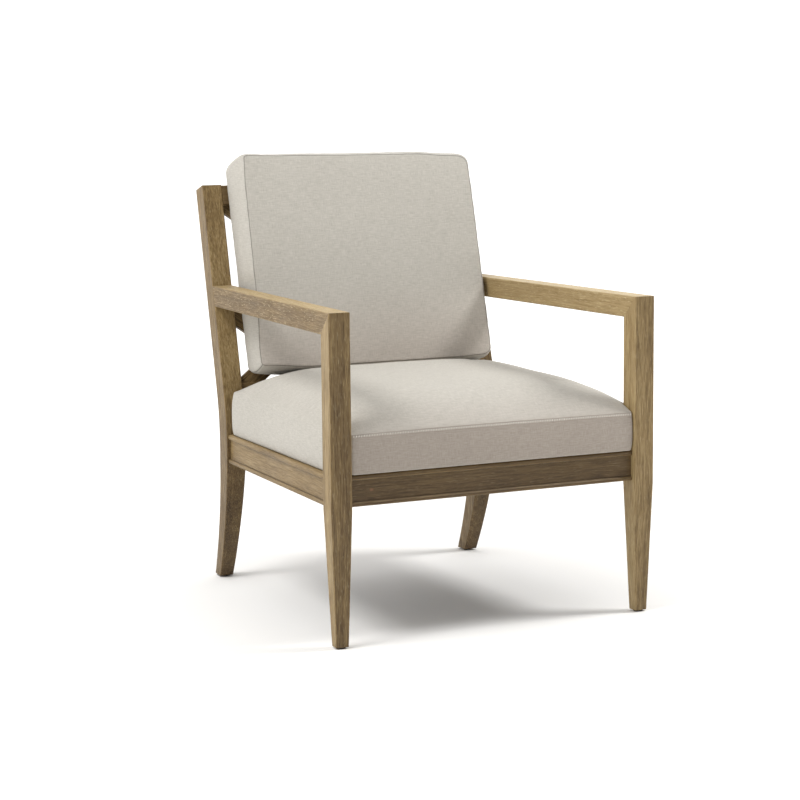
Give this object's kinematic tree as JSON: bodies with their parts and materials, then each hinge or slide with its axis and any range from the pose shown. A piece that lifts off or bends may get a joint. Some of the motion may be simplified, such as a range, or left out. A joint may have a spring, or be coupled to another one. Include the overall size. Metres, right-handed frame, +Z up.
{
  "type": "fireside chair",
  "caption": "Open wooden fireside chair with sloping curved rear legs, a crossed-slat back, an upholstered seat between the front posts and a loose box cushion.",
  "frame": {"origin": "on the floor, at the middle of the chair's bounding box in plan", "axes": "+Z is up, -Y is the front of the chair where a person sits down, +X is to the right seen from the front"},
  "size_m": [0.6858, 0.776, 0.8925],
  "materials": {
    "frame_wood": "satin, warm grey-brown straight grain",
    "inner_wood": "bare sawn wood and plywood",
    "upholstery_fabric": "plain woven linen look, off-white to light grey",
    "dust_cloth": "thin black non-woven cloth",
    "screw_steel": "zinc plated",
    "glide_plastic": "dark moulded plastic",
    "zip_plastic": "nylon coil zip on woven tape"
  },
  "bodies": {
    "chair": {"back_slat_long_falling": "frame_wood", "back_slat_long_rising": "frame_wood", "back_slat_short_left": "frame_wood", "back_slat_short_right": "frame_wood", "corner_block_front_left": "inner_wood", "corner_block_front_right": "inner_wood", "corner_block_rear_left": "inner_wood", "corner_block_rear_right": "inner_wood", "corner_screw_front_left_rail": "screw_steel", "corner_screw_front_left_seat": "screw_steel", "corner_screw_front_left_side": "screw_steel", "corner_screw_front_right_rail": "screw_steel", "corner_screw_front_right_seat": "screw_steel", "corner_screw_front_right_side": "screw_steel", "corner_screw_rear_left_rail": "screw_steel", "corner_screw_rear_left_seat": "screw_steel", "corner_screw_rear_left_side": "screw_steel", "corner_screw_rear_right_rail": "screw_steel", "corner_screw_rear_right_seat": "screw_steel", "corner_screw_rear_right_side": "screw_steel", "front_left_glide": "glide_plastic", "front_left_leg": "frame_wood", "front_right_glide": "glide_plastic", "front_right_leg": "frame_wood", "front_seat_rail": "frame_wood", "left_arm": "frame_wood", "left_arm_mitre_tongue": "inner_wood", "left_seat_rail": "frame_wood", "lower_back_rail": "frame_wood", "rear_left_glide": "glide_plastic", "rear_left_leg": "frame_wood", "rear_right_glide": "glide_plastic", "rear_right_leg": "frame_wood", "rear_seat_rail": "frame_wood", "right_arm": "frame_wood", "right_arm_mitre_tongue": "inner_wood", "right_seat_rail": "frame_wood", "seat_board": "inner_wood", "seat_dust_cover": "dust_cloth", "seat_upholstery": "upholstery_fabric", "top_back_rail": "frame_wood"},
    "loose_cushion": {"back_cushion": "upholstery_fabric", "back_cushion_zip": "zip_plastic"}
  },
  "joints": [
    {"name": "cushion_lift", "type": "slide", "parent": "chair", "child": "loose_cushion", "axis": [0, 0.2625, 0.9649], "range_m": [0, 0.5]}
  ]
}
